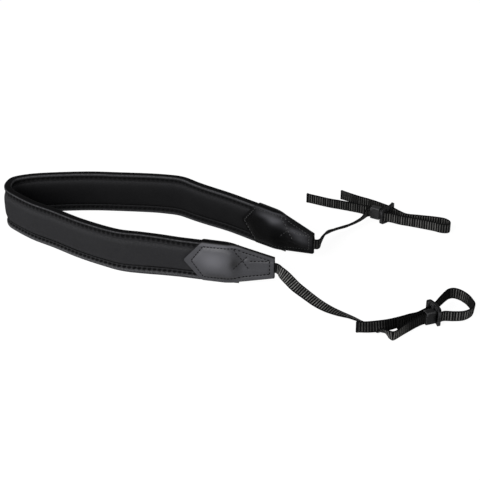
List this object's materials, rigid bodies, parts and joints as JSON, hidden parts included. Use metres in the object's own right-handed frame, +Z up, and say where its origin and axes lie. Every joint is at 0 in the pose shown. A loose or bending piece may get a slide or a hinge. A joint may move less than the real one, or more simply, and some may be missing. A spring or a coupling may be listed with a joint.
{
  "type": "binocular strap",
  "caption": "Padded neck strap lying in a U on its edge, with leather end patches and narrow adjustable webbing ends, each with a keeper, a slide buckle and a lug loop.",
  "frame": {"origin": "on the surface that the strap lies on, under the middle of the box round it", "axes": "+X the way the wearer faces, from the back of the neck towards the lug loops; +Y towards the wearer's left end; +Z up, across the band's width"},
  "size_m": [0.4506, 0.2693, 0.0425],
  "materials": {
    "pad_fabric": "matte smooth knit over foam",
    "binding_fabric": "matte folded edge tape",
    "leather": "satin, finely grained",
    "webbing": "ribbed across",
    "plastic": "satin"
  },
  "bodies": {
    "root": {"neck_pad": "pad_fabric", "edge_binding_top": "binding_fabric", "edge_binding_bottom": "binding_fabric", "end_patch_outer_left": "leather", "end_patch_inner_left": "leather", "webbing_strap_left": "webbing", "webbing_loop_left": "webbing", "keeper_left": "plastic", "slide_buckle_left": "plastic", "end_patch_outer_right": "leather", "end_patch_inner_right": "leather", "webbing_strap_right": "webbing", "webbing_loop_right": "webbing", "keeper_right": "plastic", "slide_buckle_right": "plastic"}
  },
  "joints": []
}
